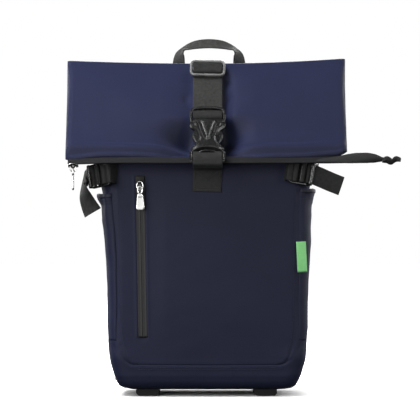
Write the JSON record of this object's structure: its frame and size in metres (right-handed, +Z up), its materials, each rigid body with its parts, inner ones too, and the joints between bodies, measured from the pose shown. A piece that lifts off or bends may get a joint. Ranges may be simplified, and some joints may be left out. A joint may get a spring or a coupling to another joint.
{
  "type": "roll-top backpack",
  "caption": "Roll-top commuter backpack with a buckled closure strap, zipped front pocket, side pockets and padded harness.",
  "frame": {"origin": "on the ground, midway between the two foot rails", "axes": "+Z up; -Y is the bag's front with the buckle; +Y is the wearer's side; +X is the viewer's right when facing the front"},
  "size_m": [0.426, 0.2102, 0.4684],
  "materials": {
    "navy_cloth": "tight matt weave with a soft sheen",
    "black_webbing": "ribbed woven webbing",
    "black_plastic": "moulded, satin",
    "zip_tape": "coated tape",
    "zip_metal": "polished",
    "foot_rubber": "matt",
    "air_mesh": "spacer mesh",
    "inner_cloth": "plain weave",
    "foam": "closed-cell sheet",
    "green_label": "woven satin"
  },
  "bodies": {
    "bag": {"foot_rail_left": "foot_rubber", "foot_rail_right": "foot_rubber", "base_panel": "navy_cloth", "base_stiffener": "foam", "boot_walls": "navy_cloth", "side_panel_left": "navy_cloth", "side_panel_right": "navy_cloth", "front_panel": "navy_cloth", "front_pocket_bag": "inner_cloth", "back_panel": "navy_cloth", "back_foam_sheet": "foam", "back_cushions": "air_mesh", "lining": "inner_cloth", "laptop_divider": "inner_cloth", "collar_front": "navy_cloth", "collar_back": "navy_cloth", "collar_gusset_left": "navy_cloth", "collar_gusset_right": "navy_cloth", "buckle_female": "black_plastic", "anchor_tab": "black_webbing", "pocket_zip_chain": "zip_tape", "pocket_zip_stop": "black_plastic", "side_pocket_left": "navy_cloth", "side_pocket_hem_left": "navy_cloth", "side_pocket_right": "navy_cloth", "side_pocket_hem_right": "navy_cloth", "seam_label": "green_label", "side_anchor_left": "black_webbing", "side_anchor_right": "black_webbing", "side_strap_left": "black_webbing", "side_strap_right": "black_webbing", "harness_lower_webbing": "black_webbing", "harness_yoke": "black_webbing"},
    "roll_top": {"roll_top_flap": "navy_cloth", "mouth_zip_chain": "zip_tape", "mouth_zip_free_end": "zip_tape", "mouth_zip_end_tab": "black_webbing", "closure_strap_upper": "black_webbing"},
    "closure": {"closure_strap": "black_webbing", "buckle_male_frame": "black_plastic"},
    "prong_left": {"buckle_prong_left": "black_plastic"},
    "prong_right": {"buckle_prong_right": "black_plastic"},
    "glide": {"tri_glide": "black_plastic", "tri_glide_webbing": "black_webbing"},
    "mouth_slider": {"mouth_zip_slider": "zip_metal"},
    "mouth_pull": {"mouth_zip_pull": "zip_metal"},
    "pocket_slider": {"pocket_zip_slider": "zip_metal"},
    "pocket_pull": {"pocket_zip_pull": "zip_metal"},
    "handle": {"carry_handle": "black_webbing"},
    "adjuster_left": {"ladder_lock_left": "black_plastic", "side_strap_tail_left": "black_webbing"},
    "adjuster_right": {"ladder_lock_right": "black_plastic", "side_strap_tail_right": "black_webbing"},
    "harness_left": {"shoulder_pad_left": "air_mesh", "harness_lock_left": "black_plastic", "harness_tail_left": "black_webbing"},
    "harness_right": {"shoulder_pad_right": "air_mesh", "harness_lock_right": "black_plastic", "harness_tail_right": "black_webbing"}
  },
  "joints": [
    {"name": "roll_top_fold", "type": "hinge", "parent": "bag", "child": "roll_top", "pos_m": [0, 0.012, 0.428], "axis": [-1, 0, 0], "range_deg": [0, 140]},
    {"name": "buckle_release", "type": "slide", "parent": "roll_top", "child": "closure", "axis": [0, 0.628, 0.7782], "range_m": [0, 0.04]},
    {"name": "prong_squeeze_left", "type": "hinge", "parent": "closure", "child": "prong_left", "pos_m": [-0.00825, -0.06542, 0.35131], "axis": [0, -0.7782, 0.628], "range_deg": [0, 8], "stiffness_Nm_per_rad": 1},
    {"name": "prong_squeeze_right", "type": "hinge", "parent": "closure", "child": "prong_right", "pos_m": [0.01125, -0.06542, 0.35131], "axis": [0, 0.7782, -0.628], "range_deg": [0, 8], "stiffness_Nm_per_rad": 1},
    {"name": "tri_glide_slide", "type": "slide", "parent": "roll_top", "child": "glide", "axis": [0, -0.628, -0.7782], "range_m": [0, 0.015]},
    {"name": "mouth_zip_slide", "type": "slide", "parent": "roll_top", "child": "mouth_slider", "axis": [1, 0, 0], "range_m": [0, 0.12]},
    {"name": "mouth_pull_swing", "type": "hinge", "parent": "mouth_slider", "child": "mouth_pull", "pos_m": [-0.169, -0.09463, 0.29158], "axis": [0, 1, 0], "range_deg": [-75, 75]},
    {"name": "pocket_zip_slide", "type": "slide", "parent": "bag", "child": "pocket_slider", "axis": [0.0183, 0, -0.9998], "range_m": [0, 0.176]},
    {"name": "pocket_pull_swing", "type": "hinge", "parent": "pocket_slider", "child": "pocket_pull", "pos_m": [-0.0852, -0.0688, 0.26907], "axis": [-1, 0, 0], "range_deg": [0, 120]},
    {"name": "handle_fold", "type": "hinge", "parent": "bag", "child": "handle", "pos_m": [0.003, 0.0612, 0.374], "axis": [-1, 0, 0], "range_deg": [-15, 75]},
    {"name": "adjuster_swing_left", "type": "hinge", "parent": "bag", "child": "adjuster_left", "pos_m": [-0.12771, -0.07321, 0.28688], "axis": [0, 0, 1], "range_deg": [0, 30]},
    {"name": "adjuster_swing_right", "type": "hinge", "parent": "bag", "child": "adjuster_right", "pos_m": [0.10654, -0.07356, 0.29038], "axis": [0, 0, -1], "range_deg": [0, 30]},
    {"name": "harness_swing_left", "type": "hinge", "parent": "bag", "child": "harness_left", "pos_m": [-0.044, 0.0735, 0.366], "axis": [1, 0, 0], "range_deg": [0, 12]},
    {"name": "harness_swing_right", "type": "hinge", "parent": "bag", "child": "harness_right", "pos_m": [0.044, 0.0735, 0.366], "axis": [1, 0, 0], "range_deg": [0, 12]}
  ]
}
